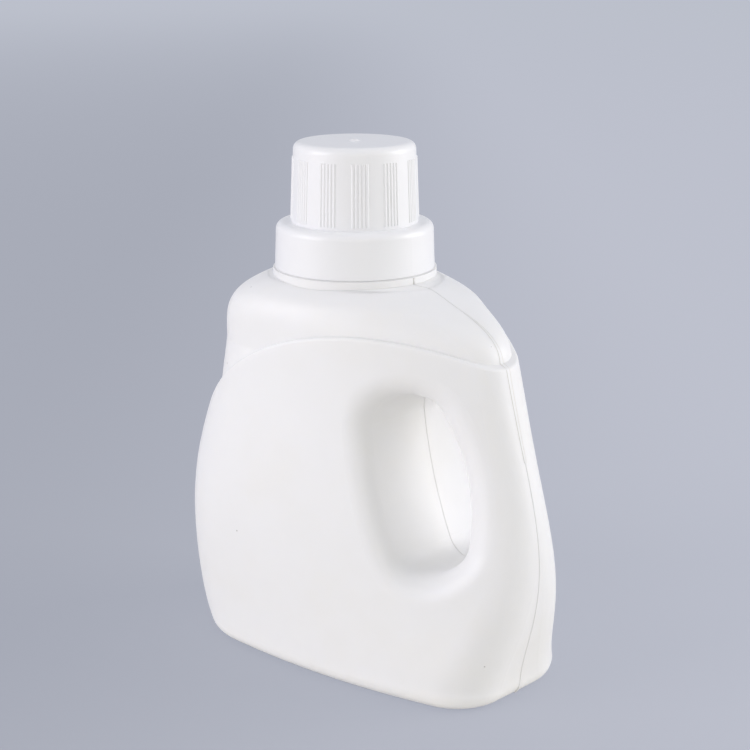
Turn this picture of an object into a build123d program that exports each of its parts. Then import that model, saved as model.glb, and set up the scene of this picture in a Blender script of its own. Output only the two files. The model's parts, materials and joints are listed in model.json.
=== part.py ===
from build123d import *
from collections import namedtuple
from math import atan, cos, degrees, radians, sin
import os

os.makedirs("parts", exist_ok=True)

# A squat blow-moulded laundry detergent bottle with a moulded-in handle, a drain-back pouring
# spout and a stepped measuring cap. Millimetres, +Z up, the handle towards +X and the front
# towards -Y. The origin is on the floor, under the middle of the bottle.

# Bottle, measured from the neck axis
neck_x = -16.54           # neck axis, from the middle of the bottle
wall = 1.2                # moulded wall
floor_wall = 1.6          # thicker wall over the base
heel_radius = 6.5         # rounding between the walls and the base
base_recess = 1.6         # push-up in the middle of the base
base_land = 16.0          # from the walls to the push-up: the ring that the bottle stands on

# One level of the bottle: height, reach to the toe end and to the handle's spine, half depth
# at the toe end, radius of the toe's corners, radius of the spine's corners and half the flat
# between them.
Level = namedtuple("Level", "z toe spine depth toe_radius spine_radius spine_flat")
body_levels = (
    Level(0.0, 51.0, 83.8, 44.6, 31.0, 22.5, 12.2),
    Level(22.0, 57.0, 86.5, 46.3, 30.0, 21.0, 6.7),
    Level(45.0, 57.6, 90.6, 48.0, 30.0, 18.4, 2.6),
    Level(68.0, 56.2, 88.5, 47.3, 30.0, 15.0, 0.6),
    Level(92.0, 50.3, 82.0, 44.1, 28.6, 13.0, 0.8),
    Level(118.0, 42.4, 74.8, 41.0, 27.0, 13.2, 1.0),
    Level(136.0, 39.0, 69.5, 39.0, 26.0, 13.0, 1.0),
)

# The shoulder stands inside the body's outline and domes over to the collar
shoulder_foot_z = 76.0    # hidden inside the body
shoulder_flare = 8.0      # how it widens towards its foot, degrees
shoulder_levels = (
    Level(118.0, 43.6, 71.6, 39.2, 26.0, 13.0, 0.6),
    Level(122.0, 43.6, 71.4, 39.2, 26.0, 13.2, 0.6),
    Level(126.0, 43.4, 69.8, 39.2, 26.0, 13.8, 0.6),
    Level(130.3, 42.4, 65.5, 39.0, 26.0, 14.5, 1.2),
    Level(134.0, 40.4, 59.0, 38.2, 26.0, 16.0, 2.0),
    Level(137.0, 37.6, 51.5, 36.6, 25.5, 18.0, 4.0),
    Level(139.5, 34.4, 45.0, 33.9, 25.0, 19.0, 3.6),
    Level(141.6, 30.4, 34.0, 29.8, 25.0, 20.0, 4.0),
)
shoulder_z = shoulder_levels[-1].z

# The arched ledge where the label panel stands proud of the shoulder
arch_radius = 96.8
arch_peak_x = 34.4
arch_peak_z = 128.6
ledge_radius = 1.2        # rounding of its edge

# Finger hole through the handle: a slanted oval with a flat side and a bowed side
hole_x = 51.5             # its middle
hole_z = 77.4
hole_lean = 16.4          # degrees
hole_body_reach = 11.4    # from its middle to the bottle's side
hole_body_radius = 160.0
hole_grip_reach = 13.0    # from its middle to the handle's side
hole_grip_radius = 100.0
hole_end_radius = 10.0
hole_rim_radius = 9.2

# Neck and collar
neck_radius = 25.2
neck_wall = 2.0
neck_height = 14.2        # above the shoulder's top
collar_height = 3.2
collar_sink = 3.0         # how far the collar runs down into the shoulder
collar_proud = 0.7        # past the cap's skirt

# Pouring spout
spout_flange = 2.0        # rim of the spout on the neck's land
plug_depth = 8.5          # how far the spout's ring goes down the neck
plug_clearance = 0.1
spout_wall = 1.5
spout_gutter = 8.7        # drain-back gutter, between the ring and the spout
spout_draft = 1.4         # how much narrower the spout is at its tip
spout_tip_gap = 7.3       # between the tip and the roof of the cap
spout_tilt = 30.0         # slant of the pouring lip, degrees
drain_slot = 7.0

# Measuring cap
cap_gap = 0.4             # between the skirt and the collar, and over the spout's flange
thread_room = 2.1         # between the neck and the skirt
skirt_wall = 2.0
skirt_draft = 0.6
skirt_deck = 3.4          # from the spout's flange to the top of the skirt
deck_ledge = 5.5          # step from the skirt in to the cup
cup_height = 28.9
cup_draft = 1.1           # how much narrower the cup is at its top
cap_wall = 1.6
cap_edge_radius = 2.8
rib_foot_gap = 1.2        # from the skirt's top to the ribs
rib_top_gap = 5.5         # from the ribs to the cap's top
rib_radius = 0.55
rib_proud = 0.4
rib_groups = 12
ribs_in_group = 5
rib_pitch = 3.3           # degrees
rib_phase = -39.5         # direction of one group, degrees
gate_radius = 0.9         # dimple left by the moulding gate
gate_depth = 0.4

# Sizes that follow from those
bore_radius = neck_radius - neck_wall
neck_top_z = shoulder_z + neck_height
collar_top_z = shoulder_z + collar_height
flange_top_z = neck_top_z + spout_flange
skirt_radius = neck_radius + thread_room + skirt_wall
skirt_top_radius = skirt_radius - skirt_draft
collar_radius = skirt_radius + collar_proud
skirt_z = collar_top_z + cap_gap
skirt_roof_z = flange_top_z + cap_gap
skirt_top_z = skirt_roof_z + skirt_deck
cup_foot_radius = skirt_top_radius - deck_ledge
cup_top_radius = cup_foot_radius - cup_draft
cap_top_z = skirt_top_z + cup_height
plug_radius = bore_radius - plug_clearance
gutter_radius = plug_radius - spout_wall
spout_floor_z = neck_top_z - plug_depth
spout_radius = gutter_radius - spout_gutter
spout_tip_radius = spout_radius - spout_draft
spout_tip_z = cap_top_z - cap_wall - spout_tip_gap

front_plane = Plane((neck_x, 0, 0), x_dir=(1, 0, 0), z_dir=(0, -1, 0))
hole_across = (cos(radians(hole_lean)), 0, sin(radians(hole_lean)))
hole_plane = Plane((neck_x + hole_x, 0, hole_z), x_dir=hole_across, z_dir=(0, -1, 0))
neck_plane = Plane((neck_x, 0, 0))
neck_axis = Axis((neck_x, 0, 0), (0, 0, 1))
through = 2 * body_levels[0].depth    # long enough for a cut from front to back


def inset(level, skin):
    """The same level, moved in by the wall's thickness."""
    return level._replace(
        toe=level.toe - skin,
        spine=level.spine - skin,
        depth=level.depth - skin,
        toe_radius=level.toe_radius - skin,
        spine_radius=level.spine_radius - skin,
    )


def plan_outline(level):
    """One level's face: a flat toe, round corners and a front that bows in to the spine."""
    toe_x = level.toe_radius - level.toe
    spine_x = level.spine - level.spine_radius
    run = spine_x - toe_x
    drop = level.depth - level.spine_flat
    # radius of the bowed front that runs tangent into both corners
    bow = (run**2 + drop**2 - level.spine_radius**2) / (2 * (drop - level.spine_radius))
    reach = level.spine_radius / (bow - level.spine_radius)
    meet = (spine_x + run * reach, -level.spine_flat - (bow - drop) * reach)
    spine_end = (level.spine, -level.spine_flat)
    with BuildSketch(Plane((neck_x, 0, level.z))) as outline:
        with BuildLine():
            toe_wall = Line((-level.toe, 0), (-level.toe, level.toe_radius - level.depth))
            toe_corner = TangentArc(toe_wall @ 1, (toe_x, -level.depth), tangent=toe_wall % 1)
            front = TangentArc(toe_corner @ 1, meet, tangent=toe_corner % 1)
            spine_corner = TangentArc(front @ 1, spine_end, tangent=front % 1)
            Line(spine_corner @ 1, (level.spine, 0))
            mirror(about=Plane.XZ)
        make_face()
    return outline.sketch


def shoulder_form(skin):
    """The domed shoulder with its flared foot as a closed form, moved in and down by skin."""
    with BuildPart() as form:
        for level in shoulder_levels:
            add(plan_outline(inset(level, skin)._replace(z=level.z - skin)))
        loft()
        dome_foot = form.faces().sort_by(Axis.Z)[0]
        extrude(dome_foot, amount=shoulder_levels[0].z - shoulder_foot_z, taper=-shoulder_flare)
    return form.part


def body_form(skin, floor_z):
    """The whole bottle below its neck as a closed form, moved in by skin all round."""
    shoulder = shoulder_form(skin)
    with BuildPart() as form:
        for level in body_levels:
            add(plan_outline(inset(level, skin)._replace(z=max(level.z, floor_z))))
        loft()
        fillet(form.faces().sort_by(Axis.Z)[0].edges(), heel_radius - skin)
        with BuildSketch(front_plane):
            with Locations((0, shoulder_foot_z)):
                Rectangle(2 * through, through, align=(Align.CENTER, Align.MIN))
            with Locations((arch_peak_x, arch_peak_z - arch_radius)):
                Circle(arch_radius - skin, mode=Mode.SUBTRACT)
        extrude(amount=through, both=True, mode=Mode.SUBTRACT)
        if not skin:
            ledge = form.faces(Select.LAST).sort_by(Axis.Z)[-1]
            fillet(ledge.edges(), ledge_radius)
        add(shoulder)
        with BuildSketch(hole_plane) as hole:
            with Locations((hole_grip_reach - hole_grip_radius, 0)):
                Circle(hole_grip_radius + skin)
            with Locations((hole_body_radius - hole_body_reach, 0)):
                Circle(hole_body_radius + skin, mode=Mode.INTERSECT)
            fillet(hole.vertices(), hole_end_radius + skin)
        extrude(amount=through, both=True, mode=Mode.SUBTRACT)
        hole_walls = form.faces(Select.LAST).filter_by(lambda face: abs(face.normal_at().Y) < 0.01)
        fillet(hole_walls.edges().filter_by(Axis.Y, reverse=True), hole_rim_radius - skin)
    return form.part


# Bottle: the form, less the same form moved in by the wall, with the collar and the neck
outer_form = body_form(0, 0)
inner_form = body_form(wall, base_recess + floor_wall)
with BuildPart() as bottle:
    add(outer_form)
    with BuildSketch(neck_plane.offset(shoulder_z - collar_sink)):
        Circle(collar_radius)
    extrude(amount=collar_sink + collar_height)
    with BuildSketch(neck_plane.offset(shoulder_z)):
        Circle(neck_radius)
    extrude(amount=neck_height)
    add(inner_form, mode=Mode.SUBTRACT)
    with BuildSketch(neck_plane.offset(shoulder_z - 2 * collar_sink)):
        Circle(bore_radius)
    extrude(amount=2 * collar_sink + neck_height, mode=Mode.SUBTRACT)
    add(plan_outline(inset(body_levels[0], base_land)))
    extrude(amount=base_recess, taper=45, mode=Mode.SUBTRACT)
bottle.part.label = "bottle"
export_step(bottle.part, "parts/bottle.step")

# Pouring spout: a ring pressed into the neck, a gutter and a slanted lip that pours to -X
lip_normal = (sin(radians(spout_tilt)), 0, cos(radians(spout_tilt)))
lip_plane = Plane((neck_x - spout_tip_radius, 0, spout_tip_z), z_dir=lip_normal)
with BuildPart() as pour_spout:
    with BuildSketch(front_plane):
        with BuildLine():
            Polyline(
                (spout_radius - spout_wall, spout_floor_z),
                (plug_radius, spout_floor_z),
                (plug_radius, neck_top_z),
                (neck_radius, neck_top_z),
                (neck_radius, flange_top_z),
                (gutter_radius, flange_top_z),
                (gutter_radius, spout_floor_z + spout_wall),
                (spout_radius, spout_floor_z + spout_wall),
                (spout_tip_radius, spout_tip_z),
                (spout_tip_radius - spout_wall, spout_tip_z),
                close=True,
            )
        make_face()
    revolve(axis=neck_axis)
    split(bisect_by=lip_plane, keep=Keep.BOTTOM)
    with BuildSketch(neck_plane.offset(spout_floor_z + spout_wall)):
        with Locations((spout_radius, 0)):
            Rectangle(4 * spout_wall, drain_slot)
    extrude(amount=spout_tip_z - spout_floor_z, mode=Mode.SUBTRACT)
pour_spout.part.label = "pour_spout"
export_step(pour_spout.part, "parts/pour_spout.step")

# Measuring cap: a drafted cup on a wider skirt, hollow from below, with groups of grip ribs
rib_length = cup_height - rib_foot_gap - rib_top_gap
rib_z = skirt_top_z + rib_foot_gap + rib_length / 2
rib_centre = (cup_foot_radius + cup_top_radius) / 2 - rib_radius + rib_proud
rib_lean = degrees(atan(cup_draft / cup_height))
with BuildPart() as measuring_cap:
    with BuildSketch(front_plane):
        with BuildLine():
            Polyline(
                (0, cap_top_z),
                (cup_top_radius, cap_top_z),
                (cup_foot_radius, skirt_top_z),
                (skirt_top_radius, skirt_top_z),
                (skirt_radius, skirt_z),
                (skirt_radius - skirt_wall, skirt_z),
                (skirt_radius - skirt_wall, skirt_roof_z),
                (cup_foot_radius - cap_wall, skirt_roof_z),
                (cup_top_radius - cap_wall, cap_top_z - cap_wall),
                (0, cap_top_z - cap_wall),
                close=True,
            )
        make_face()
    revolve(axis=neck_axis)
    top_rim = measuring_cap.faces().sort_by(Axis.Z)[-1].edges()
    on_skirt_rim = (neck_x + skirt_top_radius, 0, skirt_top_z)
    skirt_rim = measuring_cap.edges().filter_by(GeomType.CIRCLE).sort_by_distance(on_skirt_rim)[0]
    fillet([*top_rim, skirt_rim], cap_edge_radius)
    with Locations(neck_plane.offset(rib_z)):
        for place in range(ribs_in_group):
            start = rib_phase + (place - (ribs_in_group - 1) / 2) * rib_pitch
            with PolarLocations(rib_centre, rib_groups, start_angle=start):
                Cylinder(rib_radius, rib_length, rotation=(0, -rib_lean, 0))
    with BuildSketch(neck_plane.offset(cap_top_z)):
        Circle(gate_radius)
    extrude(amount=-gate_depth, mode=Mode.SUBTRACT)
measuring_cap.part.label = "measuring_cap"
export_step(measuring_cap.part, "parts/measuring_cap.step")
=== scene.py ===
import json
from math import atan2, cos, pi, radians, sin, tau

import bpy
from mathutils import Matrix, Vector


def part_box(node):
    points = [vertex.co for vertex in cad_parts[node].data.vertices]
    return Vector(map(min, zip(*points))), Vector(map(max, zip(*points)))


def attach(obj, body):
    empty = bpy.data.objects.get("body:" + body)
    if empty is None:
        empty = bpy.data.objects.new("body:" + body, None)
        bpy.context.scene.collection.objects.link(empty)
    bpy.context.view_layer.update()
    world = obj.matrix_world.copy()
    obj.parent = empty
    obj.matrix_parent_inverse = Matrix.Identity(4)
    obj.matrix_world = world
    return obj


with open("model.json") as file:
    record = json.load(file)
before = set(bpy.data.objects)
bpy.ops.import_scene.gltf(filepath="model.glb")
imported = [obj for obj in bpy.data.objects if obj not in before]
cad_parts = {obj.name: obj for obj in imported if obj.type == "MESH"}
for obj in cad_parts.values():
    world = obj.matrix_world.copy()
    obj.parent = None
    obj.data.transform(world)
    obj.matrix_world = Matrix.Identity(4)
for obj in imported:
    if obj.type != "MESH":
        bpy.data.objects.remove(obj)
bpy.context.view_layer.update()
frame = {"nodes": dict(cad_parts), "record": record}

# The looks of a white blow-moulded laundry detergent bottle: its satin wall with the parting
# seam, the thread under its glossier measuring cap, and the pouring spout. Metres, +Z up, the
# handle towards +X, and the label panel that the camera sees towards -Y.

MM = 0.001
DOWN = Vector((0, 0, -1))
TO_HANDLE = Vector((1, 0, 0))

bottle = frame["nodes"]["bottle"]
measuring_cap = frame["nodes"]["measuring_cap"]
pour_spout = frame["nodes"]["pour_spout"]
openings = {entry["name"]: entry["box_m"] for entry in frame["record"]["physics"]["openings"]}

# Places that follow from the frame
bottle_low, bottle_high = (Vector(corner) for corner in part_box("bottle"))
cap_low, cap_high = (Vector(corner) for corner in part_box("measuring_cap"))
spout_low, spout_high = (Vector(corner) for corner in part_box("pour_spout"))
hole_low, hole_high = (Vector(corner) for corner in openings["finger_gap_middle"])
bottle_heart = Vector((0, 0, bottle_high.z / 2))
hole_heart = (hole_low + hole_high) / 2
neck_x = (cap_low.x + cap_high.x) / 2
neck_radius = (spout_high.x - spout_low.x) / 2
skirt_radius = (cap_high.x - cap_low.x) / 2
skirt_foot_z = cap_low.z
cap_top_z = cap_high.z

# Collar: the bottle's ring under the cap's skirt
COLLAR_PAST_SKIRT = 0.7 * MM
COLLAR_FOOT_DROP = 3.0 * MM
collar_edge = skirt_radius + COLLAR_PAST_SKIRT
collar_foot_z = skirt_foot_z - COLLAR_FOOT_DROP


def rgb(red, green, blue):
    """An opaque colour."""
    return (red, green, blue, 1.0)


class Signal:
    """A shader socket that takes part in sums: each operator adds one Math node."""

    def __init__(self, tree, socket):
        self.tree = tree
        self.socket = socket

    def math(self, operation, first, second):
        return self.tree.node("ShaderNodeMath", {"operation": operation}, {0: first, 1: second})

    def __add__(self, other):
        return self.math("ADD", self, other)

    def __radd__(self, other):
        return self.math("ADD", other, self)

    def __sub__(self, other):
        return self.math("SUBTRACT", self, other)

    def __rsub__(self, other):
        return self.math("SUBTRACT", other, self)

    def __mul__(self, other):
        return self.math("MULTIPLY", self, other)

    def __rmul__(self, other):
        return self.math("MULTIPLY", other, self)

    def __lt__(self, other):
        return self.math("LESS_THAN", self, other)


class NodeTree:
    """The nodes of one material or of the world, made one by one."""

    def __init__(self, owner):
        owner.use_nodes = True
        self.nodes = owner.node_tree.nodes
        self.links = owner.node_tree.links
        self.nodes.clear()

    def node(self, kind, settings=None, sockets=None, out=0):
        """Adds a node: its settings first, then the values or links of its sockets."""
        node = self.nodes.new(kind)
        for name, value in (settings or {}).items():
            if name == "stops":
                node.color_ramp.interpolation = "EASE"
                for stop, (place, level) in zip(node.color_ramp.elements, value):
                    stop.position = place
                    stop.color = rgb(level, level, level)
            else:
                setattr(node, name, value)
        for name, value in (sockets or {}).items():
            if isinstance(value, Signal):
                self.links.new(value.socket, node.inputs[name])
            else:
                node.inputs[name].default_value = value
        return Signal(self, node.outputs[out]) if node.outputs else None

    def plainly_seen(self):
        """1 for a ray from the camera, off a mirror or through glass, else 0."""
        straight = self.node("ShaderNodeLightPath", out="Is Camera Ray")
        mirrored = self.node("ShaderNodeLightPath", out="Is Glossy Ray")
        through = self.node("ShaderNodeLightPath", out="Is Transmission Ray")
        return straight + mirrored + through


class Finish(NodeTree):
    """One procedural material."""

    def __init__(self, name):
        self.material = bpy.data.materials.new(name)
        super().__init__(self.material)

    def at(self, stretch=(1, 1, 1)):
        """The place on the piece, in metres, stretched along each axis."""
        place = self.node("ShaderNodeTexCoord", out="Object")
        return self.node("ShaderNodeVectorMath", {"operation": "MULTIPLY"}, {0: place, 1: stretch})

    def noise(self, grain, detail=2, stretch=(1, 1, 1)):
        """Noise from 0 to 1 whose features are about grain metres across."""
        sockets = {"Vector": self.at(stretch), "Scale": 1 / grain, "Detail": detail}
        return self.node("ShaderNodeTexNoise", None, sockets)

    def ramp(self, signal, low, high):
        """0 up to low, 1 from high on."""
        stops = ((low, 0), (high, 1))
        return self.node("ShaderNodeValToRGB", {"stops": stops}, {"Fac": signal})

    def mix(self, factor, first, second):
        """A colour between the first and the second; the Mix node takes them at inputs 6 and 7."""
        return self.node("ShaderNodeMix", {"data_type": "RGBA"}, {0: factor, 6: first, 7: second}, out=2)

    def bump(self, height, depth):
        """A normal from a height signal of 0 to 1 that stands for depth metres."""
        return self.node("ShaderNodeBump", None, {"Strength": 1.0, "Distance": depth, "Height": height})

    def plastic(self, **sockets):
        """Ends the material in a Principled shader; underscores stand for spaces."""
        values = {name.replace("_", " "): value for name, value in sockets.items()}
        return self.surface(self.node("ShaderNodeBsdfPrincipled", None, values))

    def surface(self, shader):
        """Ends the material in a shader."""
        self.node("ShaderNodeOutputMaterial", None, {"Surface": shader})
        return self.material


# Finishes: grains and reliefs are real sizes, shares go from 0 to 1
PLASTIC_IOR = 1.5

# Finish of the bottle's wall, and painted shade on the creases beside its seam: a darker tone where a
# groove's shadow would fall
WHITE_WALL = rgb(0.895, 0.893, 0.884)
WARM_BLOTCH = rgb(0.868, 0.858, 0.822)
CREASE_SHADE = rgb(0.76, 0.74, 0.68)
BLOTCHED_CREASE_SHADE = rgb(0.73, 0.70, 0.63)
SPECK_BROWN = rgb(0.24, 0.22, 0.18)
BLOTCH_GRAIN = 38 * MM
BLOTCH_START = 0.45             # noise level where a blotch begins
BLOTCH_FULL = 0.75
BLOTCH_SHARE = 0.55
SPECKS_PER_METRE = 80.0
SPECK_REACH = 0.024             # of the spacing between specks
SPECK_SHARE = 0.6
SATIN_GRAIN = 0.35 * MM
SATIN_SHARE = 0.05              # of the wall's relief
WALL_SWELL = 16 * MM            # slow unevenness of a blown wall
WALL_RELIEF = 0.25 * MM
WALL_ROUGHNESS = 0.40
WALL_ROUGHNESS_SPREAD = 0.06

# Finish of the measuring cap
CAP_COOL = rgb(0.868, 0.872, 0.880)
CAP_PALE = rgb(0.895, 0.898, 0.904)
CAP_CLOUD = 22 * MM
TURNING_GRAIN = 9 * MM
TURNING_STRETCH = (1, 1, 40)    # flattens the noise into level lines
CAP_GRAIN = 0.5 * MM
CAP_GRAIN_SHARE = 0.15          # of the cap's relief
CAP_RELIEF = 0.018 * MM
CAP_ROUGHNESS = 0.25
CAP_CLOUD_ROUGHNESS = 0.06
CAP_GRAIN_ROUGHNESS = 0.04

# Finish of the pouring spout
SPOUT_MILKY = rgb(0.80, 0.81, 0.82)
SPOUT_PALE = rgb(0.84, 0.85, 0.86)
SPOUT_CLOUD = 14 * MM
SPOUT_GRAIN = 0.6 * MM
SPOUT_RELIEF = 0.012 * MM
SPOUT_ROUGHNESS = 0.42
SPOUT_GRAIN_ROUGHNESS = 0.10


def hdpe_finish(name, clean, stained):
    """Satin wall from the blow mould: faint warm blotches, stray specks, a slightly uneven wall."""
    finish = Finish(name)
    blotches = finish.ramp(finish.noise(BLOTCH_GRAIN, 3), BLOTCH_START, BLOTCH_FULL)
    tone = finish.mix(blotches * BLOTCH_SHARE, clean, stained)
    to_speck = finish.node(
        "ShaderNodeTexVoronoi",
        {"feature": "F1"},
        {"Vector": finish.at(), "Scale": SPECKS_PER_METRE},
        out="Distance",
    )
    tone = finish.mix((to_speck < SPECK_REACH) * SPECK_SHARE, tone, SPECK_BROWN)
    grain = finish.noise(SATIN_GRAIN)
    swell = finish.noise(WALL_SWELL, 1)
    return finish.plastic(
        Base_Color=tone,
        Roughness=WALL_ROUGHNESS + blotches * WALL_ROUGHNESS_SPREAD + grain * WALL_ROUGHNESS_SPREAD,
        Normal=finish.bump(grain * SATIN_SHARE + swell, WALL_RELIEF),
        IOR=PLASTIC_IOR,
        Subsurface_Weight=0.3,
        Subsurface_Radius=(1.0, 0.95, 0.85),
        Subsurface_Scale=3 * MM,
    )


def cap_finish():
    """Injection-moulded polypropylene: smoother and cooler, with faint turning lines of its mould."""
    finish = Finish("cap_white_pp")
    cloud = finish.noise(CAP_CLOUD)
    tone = finish.mix(cloud, CAP_COOL, CAP_PALE)
    turning = finish.noise(TURNING_GRAIN, stretch=TURNING_STRETCH)
    grain = finish.noise(CAP_GRAIN, 1)
    return finish.plastic(
        Base_Color=tone,
        Roughness=CAP_ROUGHNESS + cloud * CAP_CLOUD_ROUGHNESS + grain * CAP_GRAIN_ROUGHNESS,
        Normal=finish.bump(turning + grain * CAP_GRAIN_SHARE, CAP_RELIEF),
        IOR=PLASTIC_IOR,
        Subsurface_Weight=0.1,
        Subsurface_Radius=(1.0, 0.95, 0.9),
        Subsurface_Scale=1.2 * MM,
    )


def spout_finish():
    """Soft natural polyethylene, milky and a little waxy."""
    finish = Finish("spout_milky_ldpe")
    cloud = finish.noise(SPOUT_CLOUD)
    tone = finish.mix(cloud, SPOUT_MILKY, SPOUT_PALE)
    grain = finish.noise(SPOUT_GRAIN)
    return finish.plastic(
        Base_Color=tone,
        Roughness=SPOUT_ROUGHNESS + grain * SPOUT_GRAIN_ROUGHNESS,
        Normal=finish.bump(grain, SPOUT_RELIEF),
        IOR=PLASTIC_IOR,
        Subsurface_Weight=0.2,
        Subsurface_Radius=(1.0, 0.95, 0.9),
        Subsurface_Scale=2 * MM,
    )


wall_finish = hdpe_finish("bottle_white_hdpe", WHITE_WALL, WARM_BLOTCH)
# Painted shade: the wall's finish in darker tones, for the shadow beside the seam's bead and in the
# collar's notch
crease_painted_shade = hdpe_finish("bottle_seam_painted_shade", CREASE_SHADE, BLOTCHED_CREASE_SHADE)
polypropylene = cap_finish()
polyethylene = spout_finish()
for node, finish in ((bottle, wall_finish), (measuring_cap, polypropylene), (pour_spout, polyethylene)):
    for slot in node.material_slots:
        slot.material = finish


# Trim is made from rings of points
RING_STEPS = 144
BOTTLE_TRIM = {"finishes": (wall_finish,), "body": "bottle", "slot": "bottle_hdpe"}
CAP_TRIM = {"finishes": (polypropylene,), "body": "cap", "slot": "cap_pp"}


def piece_from_rings(name, rings, finishes, body, slot, closed=False, finish_of=None):
    """A strip or ridge from rings of points: each ring is joined to the next, side by side."""
    points = [point for ring in rings for point in ring]
    width = len(rings[0])
    runs = len(rings) if closed else len(rings) - 1
    faces = []
    for run in range(runs):
        here = run * width
        there = (run + 1) % len(rings) * width
        for side in range(width - 1):
            faces.append((here + side, here + side + 1, there + side + 1, there + side))
    mesh = bpy.data.meshes.new(name)
    mesh.from_pydata(points, [], faces)
    for finish in finishes:
        mesh.materials.append(finish)
    for index, face in enumerate(mesh.polygons):
        face.use_smooth = True
        if finish_of:
            face.material_index = finish_of(index % (width - 1))
    piece = bpy.data.objects.new(name, mesh)
    bpy.context.scene.collection.objects.link(piece)
    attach(piece, body)


def ring_at(angle, profile, base_z=0.0):
    """A profile of reach and height, set at an angle round the neck's axis."""
    return [
        Vector((neck_x + reach * cos(angle), reach * sin(angle), base_z + lift))
        for reach, lift in profile
    ]


def turned_rings(profile, base_z, steps=RING_STEPS):
    """One profile, turned round the neck's axis."""
    return [ring_at(tau * step / steps, profile, base_z) for step in range(steps)]


# Collar blend: the rounded corner where the collar meets the shoulder
BLEND_REACH = 7 * MM            # how far out the shoulder's crest is looked for
BLEND_STEPS = 70
BLEND_BEARINGS = 180
BLEND_CLEAR = 0.05 * MM         # off the collar's side, where the search starts
BLEND_TUCK = 0.1 * MM           # its inner edge, inside the collar
BLEND_RISE = 0.30 * MM          # up the collar's side
BLEND_CURVE = ((0.2, 0.35), (0.6, 0.1), (1.0, 0.03))    # shares of the way to the crest, and of the rise
BLEND_SINK = 0.06 * MM          # its outer edge, under the wall
BLEND_LAP = 0.5 * MM            # past the shoulder's crest


def wall_height(reach, bearing):
    """Height of the bottle's wall at a reach from the neck's axis."""
    origin = Vector((neck_x + reach * cos(bearing), reach * sin(bearing), bottle_high.z))
    return bottle.ray_cast(origin, DOWN)[1].z


def collar_blend_profile(bearing):
    """Reach and height from the collar's side out over the shoulder's crest."""
    search = collar_edge + BLEND_CLEAR
    reaches = [search + BLEND_REACH * step / BLEND_STEPS for step in range(BLEND_STEPS + 1)]
    crest_z, crest = max((wall_height(reach, bearing), reach) for reach in reaches)
    span = crest - collar_edge
    outer = crest + BLEND_LAP
    return [
        (collar_edge - BLEND_TUCK, crest_z + BLEND_RISE),
        *((collar_edge + span * out, crest_z + BLEND_RISE * up) for out, up in BLEND_CURVE),
        (outer, wall_height(outer, bearing) - BLEND_SINK),
    ]


def onto_blend(place):
    """A seam's point, lifted onto the collar blend where that lies over the wall."""
    if place.z < collar_foot_z - BLEND_REACH:
        return place
    reach = abs(place.x - neck_x)
    profile = collar_blend_profile(0 if place.x > neck_x else pi)
    for (near, near_z), (far, far_z) in zip(profile, profile[1:]):
        if near <= reach <= far:
            lifted = near_z + (far_z - near_z) * (reach - near) / (far - near)
            return Vector((place.x, place.y, max(place.z, lifted)))
    return place


blend_bearings = [tau * step / BLEND_BEARINGS for step in range(BLEND_BEARINGS)]
blend_rings = [ring_at(bearing, collar_blend_profile(bearing)) for bearing in blend_bearings]
piece_from_rings("collar_blend", blend_rings, closed=True, **BOTTLE_TRIM)


# Toe shelf: the skin over the low end of the arched ledge, where the solid's wall is open
SHELF_Z = 76 * MM
SHELF_HALF = 26 * MM            # from the parting plane to each end
SHELF_STEPS = 52
SHELF_INNER = -66.9 * MM        # on the ledge
SHELF_SHARES = (0, 0.12, 0.25, 0.4, 0.55, 0.7, 0.82, 0.92, 1.0)
SHELF_LIFT = 0.05 * MM
SHELF_TUCK = 0.10 * MM          # its two edges, under the wall
TOE_DROP = 0.1 * MM             # under the shelf, where the toe's wall is felt for
PROBE_START = 10 * MM           # off the wall, where a probing ray starts


def toe_edge(across):
    """Where the toe's wall meets the shelf's height."""
    origin = Vector((bottle_low.x - PROBE_START, across, SHELF_Z - TOE_DROP))
    return bottle.ray_cast(origin, TO_HANDLE)[1].x


def shelf_places(across):
    """The skin's line from the ledge out to the toe's wall, a little over both."""
    places = []
    outer = toe_edge(across)
    for share in SHELF_SHARES:
        x = SHELF_INNER + (outer - SHELF_INNER) * share
        met = bottle.ray_cast(Vector((x, across, SHELF_Z + PROBE_START)), DOWN)[1]
        lift = SHELF_LIFT if 0 < share < 1 else -SHELF_TUCK
        places.append(Vector((x, across, max(met.z, SHELF_Z) + lift)))
    return places


shelf_lines = []
for step in range(SHELF_STEPS + 1):
    shelf_lines.append(shelf_places(SHELF_HALF * (2 * step / SHELF_STEPS - 1)))
piece_from_rings("toe_shelf", shelf_lines, **BOTTLE_TRIM)


# Parting seam: where the two halves of the blow mould met, on the plane y = 0
SEAM_PROUD = 0.08 * MM
SEAM_HALF = 0.12 * MM
SEAM_FLAT = 0.8                 # share of the bead's width that its flat top has
SEAM_SUNK = 0.10 * MM           # edge of the seam's foot, under the wall
SEAM_SKIM = 0.02 * MM           # foot of the bead, just over the wall
SEAM_TOP_DROP = 0.55 * MM       # its ends on the collar's side, under the skirt
SEAM_STEP = radians(0.4)
SEAM_SPAN = 2                   # points each way that give the seam's direction
HAIR_CREASE = 0.05 * MM         # foot painted in shade on each side of the seam, where it is a hairline
SHOULDER_CREASE = 0.07 * MM
TRIM_CREASE = 0.28 * MM
NOTCH_CREASE = 0.30 * MM
CREASE_LIP = 0.9                # share of the crease that lies over the wall
CREASE_SIDES = (1, 5)           # of the seven sides of the seam's profile
CREASE_GAIN = 3                 # the crease is full where a third of the trim is left
TRIM_PROUD = 0.04 * MM
TRIM_HALF = 0.68 * MM           # widest half of the trimmed flash along the handle's spine
TRIM_FOOT_SHARE = 0.4           # how much of it is left at its lower end
TRIM_TOP_Z = 137 * MM
TRIM_WIDEST_Z = 122 * MM
TRIM_FOOT_Z = 88 * MM
HEEL_FLASH_PROUD = 0.45 * MM    # stub of flash left under the handle's heel
HEEL_FLASH_Z = 4 * MM
HEEL_FLASH_FOOT_Z = 1.4 * MM


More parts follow.
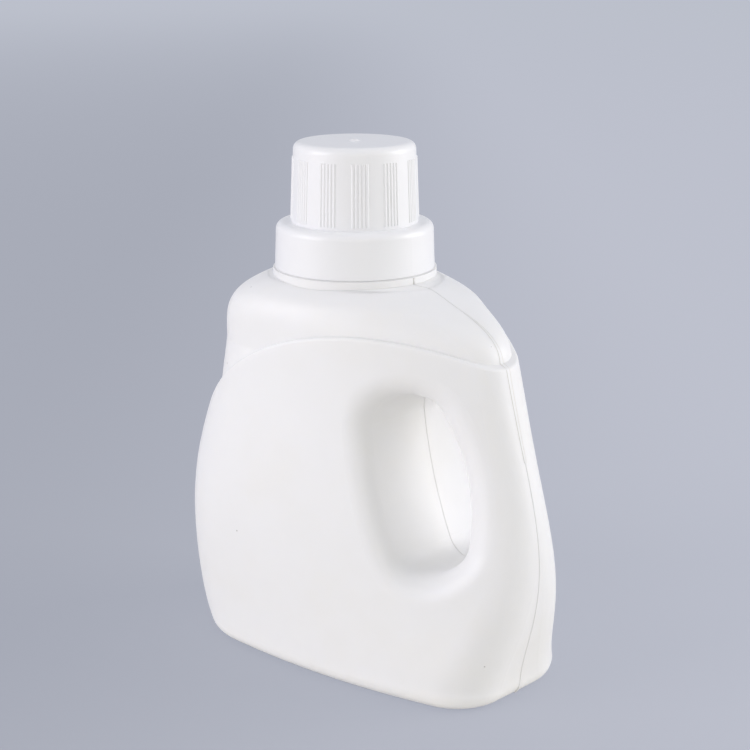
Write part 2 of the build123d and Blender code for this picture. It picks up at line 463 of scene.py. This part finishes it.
def seam_places(heart, start, end, inward):
    """Points of the bottle's wall on the parting plane, seen from heart at each angle."""
    far = 2 * (bottle_high - bottle_low).length
    steps = int((end - start) / SEAM_STEP)
    places = []
    for step in range(steps + 1):
        angle = start + (end - start) * step / steps
        away = Vector((cos(angle), 0, sin(angle)))
        origin = heart + away * far if inward else heart
        found, place, _, _ = bottle.ray_cast(origin, -away if inward else away)
        if found:
            places.append(place)
    return places


def trim_share(place):
    """How much of the trimmed flash is left here: 1 at its widest on the handle's spine, else less."""
    if place.x < 0 or not TRIM_FOOT_Z < place.z < TRIM_TOP_Z:
        return 0.0
    if place.z > TRIM_WIDEST_Z:
        return (TRIM_TOP_Z - place.z) / (TRIM_TOP_Z - TRIM_WIDEST_Z)
    climb = (place.z - TRIM_FOOT_Z) / (TRIM_WIDEST_Z - TRIM_FOOT_Z)
    return TRIM_FOOT_SHARE + (1 - TRIM_FOOT_SHARE) * climb


def seam_crease(place, share):
    """Width of the foot painted in shade: a notch on the collar, strong at the trim, a hairline below."""
    if place.z > collar_foot_z:
        return NOTCH_CREASE
    if share > 0:
        return SHOULDER_CREASE + (TRIM_CREASE - SHOULDER_CREASE) * min(1.0, CREASE_GAIN * share)
    return SHOULDER_CREASE if place.z > TRIM_FOOT_Z else HAIR_CREASE


def seam_proud(place, share):
    """Height of the bead: nothing where the bottle stands, a stub of flash at the handle's heel."""
    if place.z < HEEL_FLASH_FOOT_Z:
        return 0.0
    if place.x > 0 and place.z < HEEL_FLASH_Z:
        return HEEL_FLASH_PROUD
    return TRIM_PROUD if share > 0 else SEAM_PROUD


def seam_rings(places, turn, trimmed):
    """Flat-topped bead with a foot painted in shade on each side; turn is +1 or -1, the side that is out.
    """
    rings = []
    for index, place in enumerate(places):
        before = places[max(index - SEAM_SPAN, 0)]
        after = places[min(index + SEAM_SPAN, len(places) - 1)]
        along = (after - before).normalized()
        out = Vector((along.z, 0, -along.x)) * turn
        share = trim_share(place) if trimmed else 0.0
        half = SEAM_HALF + (TRIM_HALF - SEAM_HALF) * share
        crease = seam_crease(place, share)
        proud = seam_proud(place, share)
        profile = (
            (-half - crease, -SEAM_SUNK),
            (-half - crease * CREASE_LIP, SEAM_SKIM),
            (-half, SEAM_SKIM),
            (-half * SEAM_FLAT, proud),
            (half * SEAM_FLAT, proud),
            (half, SEAM_SKIM),
            (half + crease * CREASE_LIP, SEAM_SKIM),
            (half + crease, -SEAM_SUNK),
        )
        rings.append([place + Vector((0, across, 0)) + out * lift for across, lift in profile])
    return rings


def seam_finish(side):
    """Which of the seam's two finishes a side of its profile has: 0 the wall's, 1 the painted crease
    shade.
    """
    return 1 if side in CREASE_SIDES else 0


SEAM_TRIM = {**BOTTLE_TRIM, "finishes": (wall_finish, crease_painted_shade), "finish_of": seam_finish}
seam_climb = skirt_foot_z - SEAM_TOP_DROP - bottle_heart.z
seam_start = atan2(seam_climb, neck_x - collar_edge)
seam_end = atan2(seam_climb, neck_x + collar_edge) + tau
outer_places = [onto_blend(place) for place in seam_places(bottle_heart, seam_start, seam_end, True)]
piece_from_rings("parting_seam", seam_rings(outer_places, 1, True), **SEAM_TRIM)
hole_places = seam_places(hole_heart, 0, tau - SEAM_STEP, False)
piece_from_rings("finger_hole_seam", seam_rings(hole_places, -1, False), closed=True, **SEAM_TRIM)


# Threads: a ridge round the neck, and one inside the cap's skirt that passes it freely
THREAD_PITCH = 4.2 * MM
THREAD_TURNS = 1.6
THREAD_STEPS = 160
THREAD_OVER_SKIRT = 1.8 * MM    # where both start, over the skirt's foot
THREAD_RUN_OUT = 12             # the ridge is full a twelfth of its length from each end
THREAD_ROOT = 0.4               # of its height, sunk into the wall
THREAD_CREST = 0.45             # width of its crest, of its foot
THREAD_END = 0.35               # width of its ends, of the full ridge
NECK_THREAD_PROUD = 1.1 * MM
NECK_THREAD_HALF = 1.3 * MM
NECK_THREAD_START = radians(-60)
CAP_THREAD_PROUD = 0.55 * MM
CAP_THREAD_HALF = 0.9 * MM
CAP_THREAD_START = radians(120)
SKIRT_WALL = 2.0 * MM


def thread_rings(radius, proud, half_height, start_angle):
    """A trapezoid ridge along a helix; it rises from the wall and runs out at both ends."""
    rings = []
    for step in range(THREAD_STEPS + 1):
        share = step / THREAD_STEPS
        angle = start_angle + THREAD_TURNS * tau * share
        middle_z = skirt_foot_z + THREAD_OVER_SKIRT + THREAD_PITCH * THREAD_TURNS * share
        swell = min(1.0, THREAD_RUN_OUT * share, THREAD_RUN_OUT * (1 - share))
        crest = radius + proud * swell
        sunk = radius - proud * THREAD_ROOT
        half = half_height * (THREAD_END + (1 - THREAD_END) * swell)
        flat = half * THREAD_CREST
        profile = ((sunk, -half), (crest, -flat), (crest, flat), (sunk, half))
        rings.append(ring_at(angle, profile, middle_z))
    return rings


neck_ridge = thread_rings(neck_radius, NECK_THREAD_PROUD, NECK_THREAD_HALF, NECK_THREAD_START)
piece_from_rings("neck_thread", neck_ridge, **BOTTLE_TRIM)
cap_ridge = thread_rings(skirt_radius - SKIRT_WALL, -CAP_THREAD_PROUD, CAP_THREAD_HALF, CAP_THREAD_START)
piece_from_rings("cap_thread", cap_ridge, **CAP_TRIM)


# Seal bead: a low ring on the collar, just under the cap's skirt
CAP_GAP = 0.4 * MM              # between the collar and the skirt
BEAD_CLEAR = 0.09 * MM          # from its top to the skirt
BEAD_INSET = 0.12 * MM          # its outer corner, in from the skirt's side
BEAD_CORNER = 0.8               # height of that corner, of its top
BEAD_FOOT_OUT = 0.25 * MM       # its outer foot, past the corner
BEAD_TOP_START = 0.2 * MM       # its flat top and its inner foot, in from the corner
BEAD_TOP_END = 0.9 * MM
BEAD_FOOT_IN = 1.1 * MM
BEAD_SUNK = 0.1 * MM            # its feet, in the collar
bead_top = CAP_GAP - BEAD_CLEAR
bead_reach = skirt_radius - BEAD_INSET
bead_profile = (
    (bead_reach + BEAD_FOOT_OUT, -BEAD_SUNK),
    (bead_reach, bead_top * BEAD_CORNER),
    (bead_reach - BEAD_TOP_START, bead_top),
    (bead_reach - BEAD_TOP_END, bead_top),
    (bead_reach - BEAD_FOOT_IN, -BEAD_SUNK),
)
bead_rings = turned_rings(bead_profile, skirt_foot_z - CAP_GAP)
piece_from_rings("seal_bead", bead_rings, closed=True, **BOTTLE_TRIM)


# Gate scar: the low swelling round the dimple in the middle of the cap's top
SCAR_RADIUS = 2.1 * MM
SCAR_HEIGHT = 0.45 * MM
SCAR_SUNK = 0.05 * MM           # its outer foot, in the cap's top
DIMPLE_SUNK = 0.2 * MM          # its inner foot
scar_profile = (
    (SCAR_RADIUS, -SCAR_SUNK),
    (SCAR_RADIUS * 0.85, SCAR_HEIGHT * 0.45),
    (SCAR_RADIUS * 0.65, SCAR_HEIGHT * 0.9),
    (SCAR_RADIUS * 0.55, SCAR_HEIGHT),
    (SCAR_RADIUS * 0.46, SCAR_HEIGHT * 0.8),
    (SCAR_RADIUS * 0.44, -DIMPLE_SUNK),
)
piece_from_rings("gate_scar", turned_rings(scar_profile, cap_top_z), closed=True, **CAP_TRIM)


# Dose rings inside the measuring cup
CUP_WALL = 1.6 * MM
CUP_ROOF_RADIUS = 20.5 * MM     # inside the cup, under its roof
CUP_FOOT_RADIUS = 21.6 * MM     # inside the cup, at the skirt
CUP_DEPTH = 30.7 * MM
DOSE_DEPTHS = (9 * MM, 16 * MM, 23 * MM)
DOSE_PROUD = 0.3 * MM
DOSE_SUNK = 0.2 * MM            # its feet, in the cup's wall
DOSE_FOOT_HALF = 0.45 * MM
DOSE_CREST_HALF = 0.2 * MM
DOSE_STEPS = 96


def dose_rings(depth):
    """One fine ring that stands in from the cup's wall."""
    wall = CUP_ROOF_RADIUS + (CUP_FOOT_RADIUS - CUP_ROOF_RADIUS) * depth / CUP_DEPTH
    profile = (
        (wall + DOSE_SUNK, -DOSE_FOOT_HALF),
        (wall - DOSE_PROUD, -DOSE_CREST_HALF),
        (wall - DOSE_PROUD, DOSE_CREST_HALF),
        (wall + DOSE_SUNK, DOSE_FOOT_HALF),
    )
    return turned_rings(profile, cap_top_z - CUP_WALL - depth, DOSE_STEPS)


for count, depth in enumerate(DOSE_DEPTHS, 1):
    piece_from_rings(f"dose_ring_{count}", dose_rings(depth), closed=True, **CAP_TRIM)


# Studio: a pale blue-grey floor with painted light in its tone, darker to the left and lighter to the
# right and far off; a soft lamp on each side and a weak warm one behind the camera
BACKDROP = rgb(0.485, 0.512, 0.585)
FLOOR_LEFT = rgb(0.320, 0.347, 0.432)
FLOOR_RIGHT = rgb(0.472, 0.500, 0.602)
FLOOR_FAR = rgb(0.505, 0.538, 0.630)
FLOOR_MATTE = rgb(0.780, 0.765, 0.725)
FLOOR_RADIUS = 9.0
FLOOR_SIDES = 96
FLOOR_GLOW = 0.8                # share of the floor's colour that the camera sees without its shading
RIGHTWARD = (0.7, 0.7, 0)       # along the floor, from the left of the photograph to its right
DRIFT_PER_METRE = 2.2           # painted light: from the darker left tone to the lighter right one
DRIFT_MIDDLE = 0.5              # under the bottle
FAR_PER_METRE = 0.2             # painted light: from the near tones to the lighter far one
FAR_START = 0.05
WORLD_FILL = 0.63
FILL_COLOUR = rgb(0.94, 0.95, 1.0)
LEFT_LAMP = {"place": (-1.41, -3.01, 1.15), "size": 2.2, "watts": 55.0, "colour": (0.95, 0.92, 1.0)}
RIGHT_LAMP = {"place": (2.22, 2.46, 1.15), "size": 2.2, "watts": 64.0, "colour": (0.98, 0.965, 1.0)}
FRONT_LAMP = {"place": (3.20, -2.50, 1.05), "size": 1.8, "watts": 15.0, "colour": (1.0, 0.93, 0.66)}


def sweep_floor():
    """A wide floor that fills the view, with painted light in its tone; a share of its colour is plain to
    the camera.
    """
    finish = Finish("studio_floor")
    sideways = finish.node(
        "ShaderNodeVectorMath", {"operation": "DOT_PRODUCT"}, {0: finish.at(), 1: RIGHTWARD}, out="Value"
    )
    # Painted light: the floor's tone darkens to the left and lightens to the right and far off, as the
    # lamps' falloff would
    painted_light_drift = finish.ramp(sideways * DRIFT_PER_METRE + DRIFT_MIDDLE, 0.0, 1.0)
    near_tone = finish.mix(painted_light_drift, FLOOR_LEFT, FLOOR_RIGHT)
    distance = finish.node("ShaderNodeVectorMath", {"operation": "LENGTH"}, {0: finish.at()}, out="Value")
    tone = finish.mix(finish.ramp(distance * FAR_PER_METRE, FAR_START, 1.0), near_tone, FLOOR_FAR)
    matte = finish.node("ShaderNodeBsdfDiffuse", None, {"Color": FLOOR_MATTE})
    plain = finish.node("ShaderNodeEmission", None, {"Color": tone, "Strength": 1.0})
    shading = 1 - finish.plainly_seen() * FLOOR_GLOW
    finish.surface(finish.node("ShaderNodeMixShader", None, {0: shading, 1: plain, 2: matte}))
    rim = []
    for side in range(FLOOR_SIDES):
        angle = tau * side / FLOOR_SIDES
        rim.append(Vector((FLOOR_RADIUS * cos(angle), FLOOR_RADIUS * sin(angle), 0)))
    mesh = bpy.data.meshes.new("studio_floor")
    mesh.from_pydata(rim, [], [tuple(range(FLOOR_SIDES))])
    mesh.materials.append(finish.material)
    floor = bpy.data.objects.new("studio_floor", mesh)
    bpy.context.scene.collection.objects.link(floor)


def studio_world():
    """Even fill; past the floor's edge the camera sees a plain backdrop."""
    world = bpy.data.worlds.new("studio_world")
    sky = NodeTree(world)
    fill = sky.node("ShaderNodeBackground", None, {"Color": FILL_COLOUR, "Strength": WORLD_FILL})
    backdrop = sky.node("ShaderNodeBackground", None, {"Color": BACKDROP})
    shown = sky.node("ShaderNodeMixShader", None, {0: sky.plainly_seen(), 1: fill, 2: backdrop})
    sky.node("ShaderNodeOutputWorld", None, {"Surface": shown})
    bpy.context.scene.world = world


def softbox(name, place, size, watts, colour):
    """A square soft lamp that faces the middle of the bottle."""
    lamp = bpy.data.lights.new(name, "AREA")
    lamp.shape = "SQUARE"
    lamp.size = size
    lamp.energy = watts
    lamp.color = colour
    holder = bpy.data.objects.new(name, lamp)
    holder.location = place
    holder.rotation_euler = (bottle_heart - Vector(place)).to_track_quat("-Z", "Y").to_euler()
    bpy.context.scene.collection.objects.link(holder)


sweep_floor()
studio_world()
softbox("left_softbox", **LEFT_LAMP)
softbox("right_softbox", **RIGHT_LAMP)
softbox("front_softbox", **FRONT_LAMP)


# Camera: fitted to the photograph's 750-pixel square frame
CAMERA_PITCH = 15.88            # degrees below the horizon
CAMERA_AZIMUTH = 45.0
CAMERA_FROM_NECK = Vector((412.8 * MM, -402.4 * MM, 266.8 * MM))
SENSOR_WIDTH = 36.0             # millimetres, as the lens
FOCAL_LENGTH = 76.8
camera_lens = bpy.data.cameras.new("photo_camera")
camera_lens.sensor_width = SENSOR_WIDTH
camera_lens.lens = FOCAL_LENGTH
camera = bpy.data.objects.new("photo_camera", camera_lens)
camera.location = Vector((neck_x, 0, 0)) + CAMERA_FROM_NECK
camera.rotation_euler = (pi / 2 - radians(CAMERA_PITCH), 0, radians(CAMERA_AZIMUTH))
bpy.context.scene.collection.objects.link(camera)
bpy.context.scene.camera = camera

bpy.context.scene.view_settings.view_transform = "Standard"
